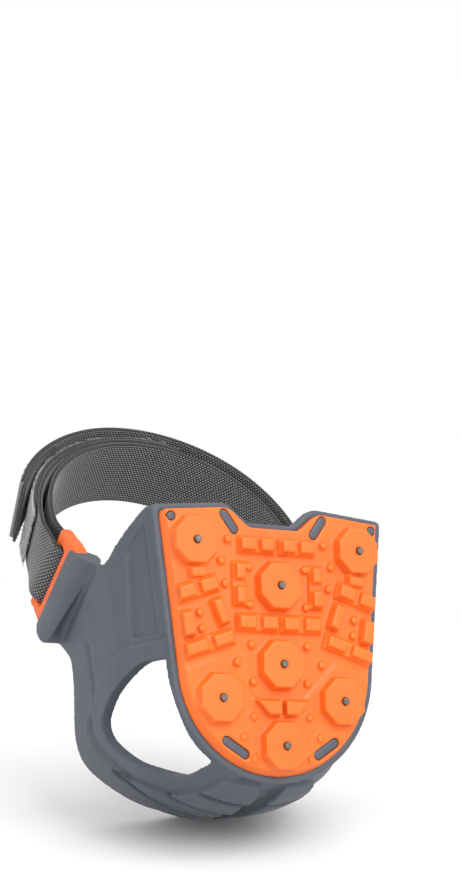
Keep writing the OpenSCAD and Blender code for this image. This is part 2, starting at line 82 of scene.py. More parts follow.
# Marks moulded on each side of the cup, in millimetres: height, half-width, and points as x outward, y and z
CUP_MARKS = {
    "sleeve_valley": (-0.9, 1.9, ((47.2, -34.5, 30), (46.2, -26, 43.5), (45.7, -17.5, 58))),
    "wing_crease": (-0.7, 1.4, ((44, -10.5, 41.5), (43, 0.5, 40), (42.4, 5, 38.8), (42.4, 8, 37.2))),
    "rim_crease": (-1.0, 1.9, ((41, 14.5, 41.2), (40.2, 17, 41.8), (38.2, 21, 40.5),
                               (36.6, 23.7, 38), (35, 26.2, 36), (31.6, 30.2, 35.2))),
    "flank_rib": (0.5, 1.0, ((44.4, -34, 9.8), (43.2, -18, 11.3), (42.6, -4, 11.8))),
}

# Fuller flanks over the windows: direction and spread in degrees from the side, and heights in millimetres
FLANK = {"aim": 30, "spread": 18, "low": 6, "full": 26}

# Where the windows are drawn towards the toe, in millimetres: axis, start of the draw and where it is full
DRAW_ZONE = ((0, 28, 33), (1, -22, 0), (1, 30, 10), (2, -4, -1), (2, 48, 34))

# Deeper lugs behind, in millimetres and in degrees from the side: gain on the height over the level of the
# windows' lips, and the zone that has it, from a direction and between two heights, with its fades
LUGS = {"gain": 0.7, "level": 0.9, "aim": 46, "fade": 10, "top": 54, "low": 0.5, "fade_z": 4}

# Bare wall between the two ranks of lugs, which heights are measured from, in millimetres
BARE_WALL = {"half_w": 2.0, "behind": 20, "depth": 1.0}

# Which way a wall faces, from 1 straight out to -1 straight in
FACES_OUT = 0.5
FACES_ASIDE = -0.2


# Sizes, colours and light that a user may change

def size(name, words, default, low, high):
    """A length, given in millimetres and kept in metres."""
    return bpy.props.FloatProperty(
        name=name, description=words, default=default * MM, min=low * MM, max=high * MM,
        subtype="DISTANCE", unit="LENGTH")


def colour(name, words, default):
    """A linear colour."""
    return bpy.props.FloatVectorProperty(
        name=name, description=words, default=default, subtype="COLOR", size=3, min=0, max=1)


def brightness(name, words, default, high, unit="NONE"):
    """A strength of light."""
    return bpy.props.FloatProperty(name=name, description=words, default=default, min=0, max=high, unit=unit)


class SpurSizes(bpy.types.PropertyGroup):
    """Sizes of the finish and of the strap"""

    cup_grain: size("Cup rounding", "Voxel that rounds the cup's edges", 0.45, 0.3, 1.5)
    plate_grain: size("Plate rounding", "Voxel that rounds the tread's edges", 0.36, 0.25, 1.0)
    loop_grain: size("Loop rounding", "Voxel that rounds the strap loops' edges", 0.42, 0.25, 1.0)
    flank: size("Flanks", "How far the cup's flanks swell over its windows", 3.5, 0.0, 5.0)
    draw: size("Windows", "How far the cup's windows are drawn towards the toe", 2.5, 0.0, 4.0)
    web_t: size("Webbing", "Thickness of the webbing", 1.8, 1.2, 2.4)
    strap_w: size("Strap width", "Width of the strap", 25.0, 18.0, 28.0)
    yarn: size("Yarn", "Spacing of the yarns across the webbing", 0.86, 0.5, 2.0)
    weave: size("Weave", "Length of one float along the webbing", 1.2, 0.6, 2.5)
    relief: size("Relief", "Height of the yarns", 0.3, 0.05, 0.6)
    loop_tape_t: size("Loop tape", "Thickness of the loop tape", 1.6, 0.8, 2.0)
    hook_tape_t: size("Hook tape", "Thickness of the hook tape", 1.2, 0.6, 1.4)
    stitch: size("Stitch", "Length of one stitch", 2.6, 1.5, 5.0)


class SpurColours(bpy.types.PropertyGroup):
    """Colours of the finishes, linear"""

    cup: colour("Cup", "Grey elastomer of the cup", (0.077, 0.086, 0.108))
    tread: colour("Tread", "Orange rubber of the plate", (0.85, 0.152, 0.014))
    loops: colour("Loops", "Orange plastic of the strap loops", (0.86, 0.125, 0.010))
    steel: colour("Steel", "Turned steel of the stud bodies", (0.42, 0.42, 0.40))
    carbide: colour("Carbide", "Ground carbide of the tips", (0.16, 0.14, 0.12))
    yarn: colour("Yarn", "Light yarn of the webbing", (0.37, 0.375, 0.38))
    gap: colour("Gap", "Dark yarn of the webbing", (0.016, 0.016, 0.017))
    sealed: colour("Sealed end", "Cut and sealed ends of the webbing", (0.20, 0.202, 0.185))
    pile: colour("Pile", "Brushed loops of the loop tape", (0.64, 0.65, 0.66))
    # The loop tape's dark edges are partly painted shade
    ground: colour("Ground", "Woven edge and back of the loop tape", (0.05, 0.05, 0.051))
    hooks: colour("Hooks", "Hook tape", (0.085, 0.085, 0.083))
    thread: colour("Thread", "Sewing thread", (0.33, 0.33, 0.33))
    floor: colour("Floor", "Pale floor", (0.80, 0.80, 0.80))


class SpurLight(bpy.types.PropertyGroup):
    """Studio light"""

    sky: brightness("Sky", "Strength of the white surround", 1.0, 3)
    key: brightness("Key", "Power of the key light", 9.0, 60, "POWER")
    fill: brightness("Fill", "Power of the fill light", 2.0, 60, "POWER")


GROUPS = {"spur_sizes": SpurSizes, "spur_colours": SpurColours, "spur_light": SpurLight}


# Materials

class Finish:
    """A node material under construction, with short calls for the nodes it uses"""

    def __init__(self, name):
        self.material = bpy.data.materials.new(name)
        self.material.use_nodes = True
        self.nodes = self.material.node_tree.nodes
        self.links = self.material.node_tree.links
        self.shader = self.nodes["Principled BSDF"]
        self.place = self.nodes.new("ShaderNodeTexCoord").outputs["Object"]

    def set(self, **values):
        """Sets what is the same all over the surface."""
        for socket, value in values.items():
            self.shader.inputs[socket.replace("_", " ")].default_value = value

    def join(self, source, socket):
        """Leads what varies over the surface to the shader."""
        self.links.new(source, self.shader.inputs[socket])

    def feed(self, socket, value):
        """Gives a node's socket a link or a constant."""
        if isinstance(value, bpy.types.NodeSocket):
            self.links.new(value, socket)
        else:
            socket.default_value = value

    def noise(self, scale, detail, stretch=(1, 1, 1)):
        """Noise through the piece, from 0 to 1."""
        mapping = self.nodes.new("ShaderNodeMapping")
        mapping.inputs["Scale"].default_value = stretch
        self.links.new(self.place, mapping.inputs["Vector"])
        node = self.nodes.new("ShaderNodeTexNoise")
        node.inputs["Scale"].default_value = scale
        node.inputs["Detail"].default_value = detail
        self.links.new(mapping.outputs["Vector"], node.inputs["Vector"])
        return node.outputs["Fac"]

    def attribute(self, name):
        """A number that the mesh carries."""
        node = self.nodes.new("ShaderNodeAttribute")
        node.attribute_name = name
        return node.outputs["Fac"]

    def pointiness(self):
        """High on edges that stand out, low in hollows."""
        return self.nodes.new("ShaderNodeNewGeometry").outputs["Pointiness"]

    def ramp(self, source, stops):
        """Colours for a number from 0 to 1."""
        node = self.nodes.new("ShaderNodeValToRGB")
        points = node.color_ramp.elements
        while len(points) < len(stops):
            points.new(1.0)
        for point, (at, rgb) in zip(points, stops):
            point.position = at
            point.color = (*rgb, 1.0)
        self.links.new(source, node.inputs["Fac"])
        return node.outputs["Color"]

    def levels(self, source, low, high):
        """A number from 0 to 1, moved to another range."""
        node = self.nodes.new("ShaderNodeMapRange")
        node.inputs["To Min"].default_value = low
        node.inputs["To Max"].default_value = high
        self.links.new(source, node.inputs["Value"])
        return node.outputs["Result"]

    def math(self, operation, *values):
        """One sum on links or constants."""
        node = self.nodes.new("ShaderNodeMath")
        node.operation = operation
        for socket, value in zip(node.inputs, values):
            self.feed(socket, value)
        return node.outputs["Value"]

    def mix(self, first, second, factor, kind="MULTIPLY"):
        """Two colours put together."""
        node = self.nodes.new("ShaderNodeMix")
        node.data_type = "RGBA"
        node.blend_type = kind
        self.feed(node.inputs["Factor"], factor)
        self.feed(node.inputs["A"], first)
        self.feed(node.inputs["B"], second)
        return node.outputs["Result"]

    def bump(self, source, strength, distance, under=None):
        """Fine relief, which may lie over another."""
        node = self.nodes.new("ShaderNodeBump")
        node.inputs["Strength"].default_value = strength
        node.inputs["Distance"].default_value = distance
        self.links.new(source, node.inputs["Height"])
        if under is not None:
            self.links.new(under, node.inputs["Normal"])
        return node.outputs["Normal"]


def shade(rgb, factor):
    """A colour made lighter or darker."""
    return tuple(min(1.0, part * factor) for part in rgb)


def grey(tone):
    """A colour with no hue, from 0 black to 1 white."""
    return (tone, tone, tone)


def moulded(name, rgb, rough, edge):
    """Moulded rubber or plastic: faint mottling, fine grain, painted highlights on standing edges and painted
    shade in hollows.
    """
    swing = 0.07
    look = Finish(name)
    cloud = look.ramp(look.noise(scale=45, detail=4), [(0.3, shade(rgb, 0.93)), (0.7, shade(rgb, 1.07))])
    # Painted light: standing edges made lighter as painted highlights, hollows made darker as painted shade;
    # edge sets how much is mixed in
    painted_edge_light_and_hollow_shade = look.ramp(look.pointiness(), [(0.45, grey(0.72)), (0.5, grey(0.86)), (0.55, grey(1))])
    look.join(look.mix(cloud, painted_edge_light_and_hollow_shade, edge), "Base Color")
    look.join(look.levels(look.noise(scale=160, detail=4), rough - swing, rough + swing), "Roughness")
    grain = look.bump(look.noise(scale=2600, detail=2), strength=0.10, distance=0.2 * MM)
    ripple = look.bump(look.noise(scale=220, detail=3), strength=0.06, distance=0.6 * MM, under=grain)
    look.join(ripple, "Normal")
    look.set(Specular_IOR_Level=0.38)
    return look.material


def metal(name, rgb, rough):
    """Turned or ground metal: fine scratches and worn patches."""
    long_marks = (1, 1, 0.1)
    look = Finish(name)
    wear = look.noise(scale=900, detail=4)
    look.join(look.ramp(wear, [(0.25, shade(rgb, 0.75)), (0.75, shade(rgb, 1.2))]), "Base Color")
    rubbed = look.noise(scale=1500, detail=3, stretch=long_marks)
    look.join(look.levels(rubbed, rough - 0.1, rough + 0.12), "Roughness")
    scratches = look.noise(scale=3000, detail=2, stretch=long_marks)
    look.join(look.bump(scratches, strength=0.15, distance=0.1 * MM), "Normal")
    look.set(Metallic=0.85)
    return look.material


def woven(name, yarn, gap, sealed):
    """Webbing: light floats in a brick pattern over dark yarns, darker towards its edges, with sealed ends.
    """
    half_across = 0.37
    half_along = 0.44
    look = Finish(name)
    warp, weft = look.attribute("warp"), look.attribute("weft")
    shift = look.math("MULTIPLY", look.math("MODULO", look.math("FLOOR", warp), 2.0), 0.5)
    across = look.math("SUBTRACT", look.math("FRACT", warp), 0.5)
    along = look.math("SUBTRACT", look.math("FRACT", look.math("ADD", weft, shift)), 0.5)
    spread = [look.math("POWER", look.math("ABSOLUTE", look.math("DIVIDE", way, half)), 2.0)
              for way, half in ((across, half_across), (along, half_along))]
    over = look.math("SUBTRACT", 1.0, look.math("ADD", *spread))
    tone = look.ramp(over, [(0.0, gap), (0.12, shade(gap, 4.0)), (0.4, shade(yarn, 0.7)), (1.0, yarn)])
    fibres = look.ramp(look.noise(scale=1400, detail=4), [(0.3, grey(0.5)), (0.7, grey(1))])
    # The band is made darker towards its edges
    darker_sides = look.ramp(look.attribute("side"), [(0.25, grey(1)), (0.85, grey(0.3))])
    cloth = look.mix(look.mix(tone, fibres, 0.8), darker_sides, 1.0)
    look.join(look.mix(cloth, (*sealed, 1.0), look.attribute("cut"), "MIX"), "Base Color")
    look.join(look.levels(look.noise(scale=500, detail=3), 0.68, 0.9), "Roughness")
    look.join(look.bump(look.noise(scale=4200, detail=3), strength=0.35, distance=0.25 * MM), "Normal")
    look.set(Specular_IOR_Level=0.25, Sheen_Weight=0.2, Sheen_Roughness=0.5)
    return look.material


def brushed(name, face, ground):
    """Tape or thread: fibres on its outer face, and a darker woven ground at its edges and back, which on the
    loop tape's edges is partly painted shade.
    """
    look = Finish(name)
    # Dark ground at the edges and back: the woven ground's own colour, and on the loop tape's edges partly
    # painted shade
    tone = look.ramp(look.attribute("outer"), [(0.45, ground), (0.9, face)])
    fibres = look.ramp(look.noise(scale=700, detail=5), [(0.25, grey(0.62)), (0.7, grey(1))])
    look.join(look.mix(tone, fibres, 0.9), "Base Color")
    look.join(look.levels(look.noise(scale=900, detail=3), 0.75, 0.95), "Roughness")
    look.join(look.bump(look.noise(scale=2400, detail=4), strength=0.6, distance=0.4 * MM), "Normal")
    look.set(Specular_IOR_Level=0.2, Sheen_Weight=0.3, Sheen_Roughness=0.35)
    return look.material


def pale_floor(name, rgb, radius):
    """Pale floor that shows from its upper side only and fades out round the spur."""
    look = Finish(name)
    look.join(look.ramp(look.noise(scale=8, detail=2), [(0.0, shade(rgb, 0.99)), (1.0, rgb)]), "Base Color")
    look.set(Roughness=0.9, Specular_IOR_Level=0.1)
    clear = look.nodes.new("ShaderNodeBsdfTransparent")
    reach = look.nodes.new("ShaderNodeVectorMath")
    reach.operation = "LENGTH"
    look.links.new(look.place, reach.inputs[0])
    share = look.math("DIVIDE", reach.outputs["Value"], radius)
    fade = look.ramp(share, [(0.35, grey(0)), (0.95, grey(1))])
    hide = look.math("MAXIMUM", fade, look.nodes.new("ShaderNodeNewGeometry").outputs["Backfacing"])
    choose = look.nodes.new("ShaderNodeMixShader")
    look.links.new(hide, choose.inputs["Fac"])
    look.links.new(look.shader.outputs["BSDF"], choose.inputs[1])
    look.links.new(clear.outputs["BSDF"], choose.inputs[2])
    look.links.new(choose.outputs["Shader"], look.nodes["Material Output"].inputs["Surface"])
    return look.material


# Making pieces

def smooth(share):
    """An S-shaped rise from 0 to 1."""
    share = np.clip(share, 0, 1)
    return share * share * (3 - 2 * share)


def dress(obj, material):
    """Gives an object one material."""
    obj.data.materials.clear()
    obj.data.materials.append(material)


def rounded(obj, voxel, passes):
    """Rounds the edges of a moulded solid. The voxel is in metres."""
    grid = obj.modifiers.new("Mould", "REMESH")
    grid.mode = "VOXEL"
    grid.voxel_size = voxel
    grid.use_smooth_shade = True
    soft = obj.modifiers.new("Soften", "SMOOTH")
    soft.factor = 0.5
    soft.iterations = passes


def eased_edges(obj, width):
    """Breaks the sharp edges of a turned piece, by a width in millimetres."""
    weld = obj.modifiers.new("Weld", "WELD")
    weld.merge_threshold = 0.01 * MM
    bevel = obj.modifiers.new("Ease", "BEVEL")
    bevel.width = width * MM
    bevel.segments = 3
    bevel.limit_method = "ANGLE"
    bevel.angle_limit = math.radians(40)
    bevel.harden_normals = False


def new_piece(name, verts, faces, material, points=None, corners=None):
    """A smooth mesh piece, with the numbers that its finish reads on its points or face corners."""
    mesh = bpy.data.meshes.new(name)
    mesh.from_pydata(np.asarray(verts).tolist(), [], faces)
    mesh.validate()
    for domain, values in (("POINT", points or {}), ("CORNER", corners or {})):
        for key, numbers in values.items():
            layer = mesh.attributes.new(key, "FLOAT", domain)
            layer.data.foreach_set("value", np.asarray(numbers, np.float32))
    mesh.polygons.foreach_set("use_smooth", [True] * len(mesh.polygons))
    mesh.update()
    obj = bpy.data.objects.new(name, mesh)
    bpy.context.scene.collection.objects.link(obj)
    dress(obj, material)
    return obj


def tubes(name, lines, radius, sides, material):
    """Thin round threads, each along its own short line of points in metres, with a radius in millimetres."""
    lean = 0.3
    tip_share = 0.5
    verts, faces = [], []
    turn = np.linspace(0, 2 * math.pi, sides, endpoint=False)
    for line in lines:
        way = np.gradient(line, axis=0)
        way /= np.linalg.norm(way, axis=1)[:, None]
        aside = np.cross(way, WIDTH + lean * UP_STRAP)
        aside /= np.linalg.norm(aside, axis=1)[:, None]
        other = np.cross(way, aside)
        taper = np.full(len(line), radius * MM)
        taper[[0, -1]] *= tip_share
        base = len(verts)
        for i, point in enumerate(line):
            rim = np.outer(np.cos(turn), aside[i]) + np.outer(np.sin(turn), other[i])
            verts.extend(point + taper[i] * rim)
        for i in range(len(line) - 1):
            for k in range(sides):
                a, b = base + i * sides + k, base + i * sides + (k + 1) % sides
                faces.append((a, b, b + sides, a + sides))
        faces.append(tuple(range(base + sides - 1, base - 1, -1)))
        last = base + (len(line) - 1) * sides
        faces.append(tuple(range(last, last + sides)))
    return new_piece(name, verts, faces, material, points={"outer": np.ones(len(verts))})


# The heel cup. Its points are folded over to one side and given in millimetres

def line_distance(points, line):
    """Distance of each point from a line of points."""
    nearest = np.full(len(points), np.inf)
    for start, stop in zip(line[:-1], line[1:]):
        way = stop - start
        share = np.clip((points - start) @ way / way.dot(way), 0, 1)
        nearest = np.minimum(nearest, np.linalg.norm(points - start - share[:, None] * way, axis=1))
    return nearest


def mark_height(folded):
    """How far the marks lift each point."""
    lift = np.zeros(len(folded))
    for height, half_w, line in CUP_MARKS.values():
        lift += height * np.exp(-(line_distance(folded, np.array(line, float)) / half_w) ** 2)
    return lift


def direction(folded):
    """Direction of each point from the heel's middle, in degrees from the side."""
    return np.degrees(np.arctan2(folded[:, 1], folded[:, 0]))


def swelling(folded):
    """Share of the swelling over the windows that each point has."""
    share = np.exp(-((direction(folded) - FLANK["aim"]) / FLANK["spread"]) ** 2)
    return share * smooth((folded[:, 2] - FLANK["low"]) / (FLANK["full"] - FLANK["low"]))


def window_draw(folded):
    """Share of the draw towards the toe that each point has."""
    share = np.ones(len(folded))
    for axis, none, full in DRAW_ZONE:
        share *= smooth((folded[:, axis] - none) / (full - none))
    return share


def lug_depth(folded, facing):
    """How far the lugs move out, and the bare wall between them in."""
    reach = np.hypot(folded[:, 0], folded[:, 1])
    bare = (folded[:, 0] < BARE_WALL["half_w"]) & (folded[:, 1] > BARE_WALL["behind"]) & (facing > FACES_OUT)
    order = np.argsort(folded[bare, 2])
    over = reach - np.interp(folded[:, 2], folded[bare, 2][order], reach[bare][order])
    zone = smooth((direction(folded) - LUGS["aim"]) / LUGS["fade"])
    for room in (LUGS["top"] - folded[:, 2], folded[:, 2] - LUGS["low"]):
        zone = zone * smooth(room / LUGS["fade_z"])
    outer = (facing > FACES_ASIDE) & (over > -BARE_WALL["depth"])
    return np.where(outer, LUGS["gain"] * zone * (over - LUGS["level"]), 0.0)


def shaped_cup(source, name, sizes, passes):
    """A rounded copy of the moulded cup: marks on both sides, fuller flanks and deeper lugs."""
    obj = bpy.data.objects.new(name, source.data.copy())
    bpy.context.scene.collection.objects.link(obj)
    rounded(obj, sizes.cup_grain, passes)
    bpy.context.view_layer.update()
    mesh = bpy.data.meshes.new_from_object(obj.evaluated_get(bpy.context.evaluated_depsgraph_get()))
    obj.modifiers.clear()
    obj.data = mesh
    spots, normals = np.empty((2, len(mesh.vertices), 3), np.float32)
    mesh.vertices.foreach_get("co", spots.ravel())
    mesh.vertices.foreach_get("normal", normals.ravel())
    folded = spots.astype(float) / MM
    folded[:, 0] = np.abs(folded[:, 0])
    away = spots * (1.0, 1.0, 0.0)
    away /= np.maximum(np.linalg.norm(away, axis=1), MM)[:, None]
    lift = mark_height(folded) * MM
    out = sizes.flank * swelling(folded) + lug_depth(folded, (normals * away).sum(axis=1)) * MM
    moved = spots + normals * lift[:, None] + away * out[:, None]
    moved[:, 1] -= sizes.draw * window_draw(folded)
    mesh.vertices.foreach_set("co", moved.astype(np.float32).ravel())
    mesh.update()
    return obj


# The strap's route

def arc(centre, radius, start, stop):
    """Points of an arc in millimetres and degrees. The radius may be a function of the angle."""
    middle = radius((start + stop) / 2) if callable(radius) else radius
    count = max(3, int(abs(math.radians(stop - start)) * middle / ROUTE_STEP))
    degrees = np.linspace(start, stop, count)
    angles = np.radians(degrees)
    reach = radius(degrees) if callable(radius) else np.full(count, radius)
    return np.array(centre) + reach[:, None] * np.column_stack([np.cos(angles), np.sin(angles)])


class Strap:
    """The strap's route: across the foot in x and up the strap from the bars in v

    Lengths are in millimetres. Directions are seen from the middle of the arch over the foot, in degrees
    from the right bar to the left one.
    """

    # The loops' bars, and the gaps between the layers
    bar_r = 2.5
    ply_gap = 0.2
    hinge_gap = 0.3
    tape_gap = 0.1

    # The arch: how far it swells, where and how far its sewn ply opens to the left, and where that ply ends
    swell = 2.2
    opens_at = 100
    opening = 2.6
    sewn_end = 70

    # The free end: where it settles on the arch, bends and leaves it, and how far it goes and stands off
    settles_at = 75
    bend_at = 115
    leave_at = 152
    free_len = 8.0
    stand_off = 1.4

    # The tapes: the loop tape's start past the sewn end, its end, and the hook tape's start and reach
    tape_start = 4
    tape_end = 175
    hook_start = 130
    tape_past = 3.5

    # Growth of the arch for each millimetre of width towards the toe
    flare = 0.0029

    def __init__(self, sizes):
        self.web_t = sizes.web_t / MM
        self.half_w = sizes.strap_w / MM / 2
        self.half_yarn = sizes.yarn / MM / 2
        self.half_float = sizes.weave / MM / 2
        self.relief = sizes.relief / MM
        self.loop_t = sizes.loop_tape_t / MM
        self.hook_t = sizes.hook_tape_t / MM
        self.stitch = sizes.stitch / MM
        self.wrap_r = self.bar_r + self.ply_gap + self.web_t / 2
        self.bar_out = PEEL[0] / MM
        self.bar_x = self.bar_out - self.wrap_r
        self.inner_r = self.bar_x - self.wrap_r + self.swell
        self.loop_lift = self.web_t / 2 + self.tape_gap + self.loop_t / 2
        self.hook_lift = self.loop_lift + self.loop_t / 2 + self.hinge_gap + self.hook_t / 2
        self.free_lift = self.hook_lift + self.hook_t / 2 + self.tape_gap + self.web_t / 2
        self.free_r = self.sewn_r(self.bend_at) + self.free_lift
        hinge_v = self.hinge_gap + self.web_t / 2
        self.level = PEEL - ACROSS * PEEL[0] - UP_STRAP * (hinge_v * MM)
        rise = (UNBEND - self.level).dot(UP_STRAP) / MM
        self.leg = rise - self.free_r * math.sin(math.radians(self.bend_at))
        self.arch = (0.0, self.leg)

    def sewn_r(self, degrees):
        """Radius of the sewn ply, which opens from the inner ply towards the left bar."""
        open_share = np.maximum(0, degrees - self.opens_at) / (180 - self.opens_at)
        return self.inner_r + self.web_t + self.ply_gap + self.opening * open_share ** 2

    def return_r(self, degrees):
        """Radius of the free end between the right bar and its bend, where it stands off the tape."""
        settle = (self.free_r - self.bar_out) * smooth(degrees / self.settles_at)
        return self.bar_out + settle + self.stand_off * smooth(2 * degrees / self.bend_at - 1)

    def place(self, x, v, w):
        """Points of the strap in the frame, in metres. The toe edge stands out further than the heel edge."""
        x, v, w = np.broadcast_arrays(x, v, w)
        grow = 1 - self.flare * w * smooth(v / self.leg)
        along = (x * grow)[..., None] * ACROSS
        up = (self.leg + (v - self.leg) * grow)[..., None] * UP_STRAP
        return self.level + (along + up + w[..., None] * WIDTH) * MM

    def free_way(self, lift, length, start):
        """The free end: along the arch, then straight off it."""
        bow = arc(self.arch, lambda a: self.sewn_r(a) + lift + self.stand_off, start, self.leave_at)
        lean = math.radians(self.leave_at)
        way = np.array([-math.sin(lean), math.cos(lean)])
        reach = np.linspace(ROUTE_STEP, length, int(length / ROUTE_STEP))[:, None]
        return np.vstack([bow, bow[-1] + reach * way])

    def webbing(self):
        """The whole strap, from its sewn end round both bars to its free end."""
        return np.vstack([
            arc(self.arch, self.sewn_r, self.sewn_end, 180),
            arc((-self.bar_x, 0), self.wrap_r, 180, 360),
            arc(self.arch, self.inner_r, 180, 0),
            arc((self.bar_x, 0), self.wrap_r, 180, 360),
            arc(self.arch, self.return_r, 0, self.bend_at),
            self.free_way(self.free_lift, self.free_len, self.bend_at)[1:]])

    def loop_tape(self):
        """The loop tape, from its sewn end to its free lower end."""
        start = self.sewn_end + self.tape_start
        return arc(self.arch, lambda a: self.sewn_r(a) + self.loop_lift, start, self.tape_end)

    def hook_tape(self):
        """The hook tape, on the inside of the free end and past it."""
        return self.free_way(self.hook_lift, self.free_len + self.tape_past, self.hook_start)


def distances(points):
    """Distance of each point along a line of points."""
    return np.concatenate([[0], np.cumsum(np.linalg.norm(np.diff(points, axis=0), axis=1))])


def at_distance(points, run, at):
    """Points of a line at given distances along it."""
    return np.column_stack([np.interp(at, run, points[:, k]) for k in (0, 1)])


def even(points, step):
    """The same route with points at an even step."""
    run = distances(points)
    count = max(2, int(round(run[-1] / step)) + 1)
    return at_distance(points, run, np.linspace(0, run[-1], count))


def calm(points, passes):
    """The route with its sudden bends eased."""
    eased = points.copy()
    for _ in range(passes):
        eased[1:-1] = (eased[:-2] + 2 * eased[1:-1] + eased[2:]) / 4
    return eased


def outward(points):
    """Unit normals on a route's right side, the outer one where it goes over the foot to the left."""
    way = np.gradient(points, axis=0)
    way /= np.linalg.norm(way, axis=1)[:, None]
    return np.column_stack([way[:, 1], -way[:, 0]])


# Bands and threads, in millimetres

def floats(row, place):
    """Height of the weave, from 0 to 1, at half-yarn steps: each yarn floats over every other row."""
    return np.where(place % 2, np.where((row + place // 2) % 2, 1.0, 0.5), 0.0)


def section(half_w, half_t, step):
    """Even points round a band's rounded section, from the middle of one edge, and their normals."""
    bend = 0.8 * half_t
    bend_points = 9
    parts = [np.array([[-half_w, 0.0]])]
    for k, (side, face) in enumerate(((-1, 1), (1, 1), (1, -1), (-1, -1))):
        turn = np.radians(np.linspace(180 - 90 * k, 90 - 90 * k, bend_points))
        middle = np.array([side * (half_w - bend), face * (half_t - bend)])
        parts.append(middle + bend * np.column_stack([np.cos(turn), np.sin(turn)]))
    loop = np.vstack([*parts, parts[0]])
    run = distances(loop)
    count = 4 * round(run[-1] / (4 * step))
    points = at_distance(loop, run, np.linspace(0, run[-1], count, endpoint=False))
    way = np.roll(points, -1, axis=0) - np.roll(points, 1, axis=0)
    way /= np.linalg.norm(way, axis=1)[:, None]
    return points, np.column_stack([-way[:, 1], way[:, 0]])


def band(name, strap, route, material, half_w, half_t, step, relief, first_row=0):
    """A woven or brushed band along a route, closed all round. Its width and thickness may vary."""
    wide, thick = (np.broadcast_to(np.asarray(half, float), len(route)) for half in (half_w, half_t))
    profile, facing = section(wide.max(), thick.max(), step)
    ring, last = len(profile), len(route) - 1
    sink = relief * (floats(first_row + np.arange(len(route))[:, None], np.arange(ring)[None, :]) - 1)
    aside = (profile[:, 0] + facing[:, 0] * sink) * (wide / wide.max())[:, None]
    rise = (profile[:, 1] + facing[:, 1] * sink) * (thick / thick.max())[:, None]
    normals = outward(route)
    verts = strap.place(route[:, :1] + normals[:, :1] * rise, route[:, 1:] + normals[:, 1:] * rise, aside)
    i, k = np.meshgrid(np.arange(last), np.arange(ring), indexing="ij")
    after = (k + 1) % ring
    quads = [i * ring + k, i * ring + after, (i + 1) * ring + after, (i + 1) * ring + k]
    faces = np.stack(quads, axis=-1).reshape(-1, 4).tolist()
    faces += [list(range(ring))[::-1], list(range(last * ring, (last + 1) * ring))]
    caps = np.zeros(2 * ring)
    warp = np.stack([k, k + 1, k + 1, k], axis=-1).ravel() / 2
    weft = (first_row + np.stack([i, i, i + 1, i + 1], axis=-1).ravel()) / 2
    corners = {"warp": np.append(warp, caps), "weft": np.append(weft, caps),
               "cut": np.append(np.zeros(len(warp)), caps + 1)}
    points = {"outer": np.tile(facing[:, 1], len(route)), "side": np.tile(np.abs(facing[:, 0]), len(route))}
    return new_piece(name, verts.reshape(-1, 3), faces, material, points, corners)


def on_band(strap, route, at, aside, lift):
    """Points over a band, by distance along it, distance across it and height over its middle."""
    run = distances(route)
    spot = at_distance(route, run, at)
    normal = at_distance(outward(route), run, at)
    over = at - np.clip(at, 0, run[-1])
    way = (route[-1] - route[-2]) / np.linalg.norm(route[-1] - route[-2])
    spot = spot + over[:, None] * way + np.asarray(lift)[:, None] * normal
    return strap.place(spot[:, 0], spot[:, 1], np.asarray(aside))


def nap(strap, route, half_w, half_t, count, seed):
    """Lines of the loop tape's silky fibres: rooted in its outer face, brushed towards its free end."""
    end_gap, toe_gap, heel_gap = 0.5, 0.6, 0.3
    shortest, longest = 1.6, 3.4
    flattest, highest = 0.15, 0.8
    drift_spread = 0.35
    root = 0.15
    bow = math.pi * 0.7
    rng = np.random.default_rng(seed)
    run = distances(route)
    share = np.linspace(0, 1, 4)
    lines = []
    for _ in range(count):
        at = rng.uniform(0, run[-1] - end_gap)
        aside = rng.uniform(toe_gap - half_w, half_w - heel_gap)
        reach = rng.uniform(shortest, longest)
        drift = rng.normal(0, drift_spread)
        rise = rng.uniform(flattest, highest)
        along = at + reach * share
        across = np.clip(aside + drift * share, -half_w, half_w)
        face = np.interp(along, run, half_t)
        lines.append(on_band(strap, route, along, across, face - root + rise * np.sin(bow * share)))
    return lines


def fray(strap, route, half_w, count, seed):
    """Lines of the loose threads at a tape's cut end, longest at its heel corner."""
    shortest, longest = 0.5, 1.4
    corner_len, corner_w = 2.2, 2.0
    drift_spread, curl_spread = 0.4, 0.35
    root = 0.5
    rng = np.random.default_rng(seed)
    length = distances(route)[-1]
    share = np.linspace(0, 1, 5)
    lines = []
    for aside in np.linspace(-half_w, half_w, count):
        reach = rng.uniform(shortest, longest) + corner_len * smooth((aside - half_w + corner_w) / corner_w)
        drift = rng.normal(0, drift_spread)
        curl = rng.normal(0, curl_spread)
        along = length - root + reach * share
        lines.append(on_band(strap, route, along, aside + drift * share, curl * share ** 2))
    return lines


def hook_lines(strap, route, half_t, pitch):
    """Lines of the hook tape's hooks, in staggered rows on its inner face."""
    first_gap, last_gap, toe_gap, heel_gap = 0.8, 2.4, 1.2, 1.0
    reach, height, root = 0.32, 0.42, 0.1
    points = 7
    bend = np.radians(np.linspace(0, 250, points))
    drop = -half_t + root - height * np.sin(bend / 2)
    length = distances(route)[-1]
    lines = []
    for row, at in enumerate(np.arange(first_gap, length - last_gap, pitch)):
        odd = row % 2
        along = at + reach * (1 - np.cos(bend)) * (1 if odd else -1)
        for aside in np.arange(-strap.half_w + toe_gap, strap.half_w - heel_gap, pitch) + 0.5 * pitch * odd:
            lines.append(on_band(strap, route, along, np.full(points, aside), drop))
    return lines


def seam(strap, route, height, aside, start, stop):
    """Lines of a row of stitches along a band."""
    root, rise = 0.25, 0.42
    pitch = 1.35 * strap.stitch
    points = 6
    share = np.linspace(0, 1, points)
    lift = height - root + rise * np.sin(math.pi * share) ** 0.5
    lines = []
    for at in np.arange(start, stop - strap.stitch, pitch):
        lines.append(on_band(strap, route, at + strap.stitch * share, np.full(points, aside), lift))
    return lines


# Operators

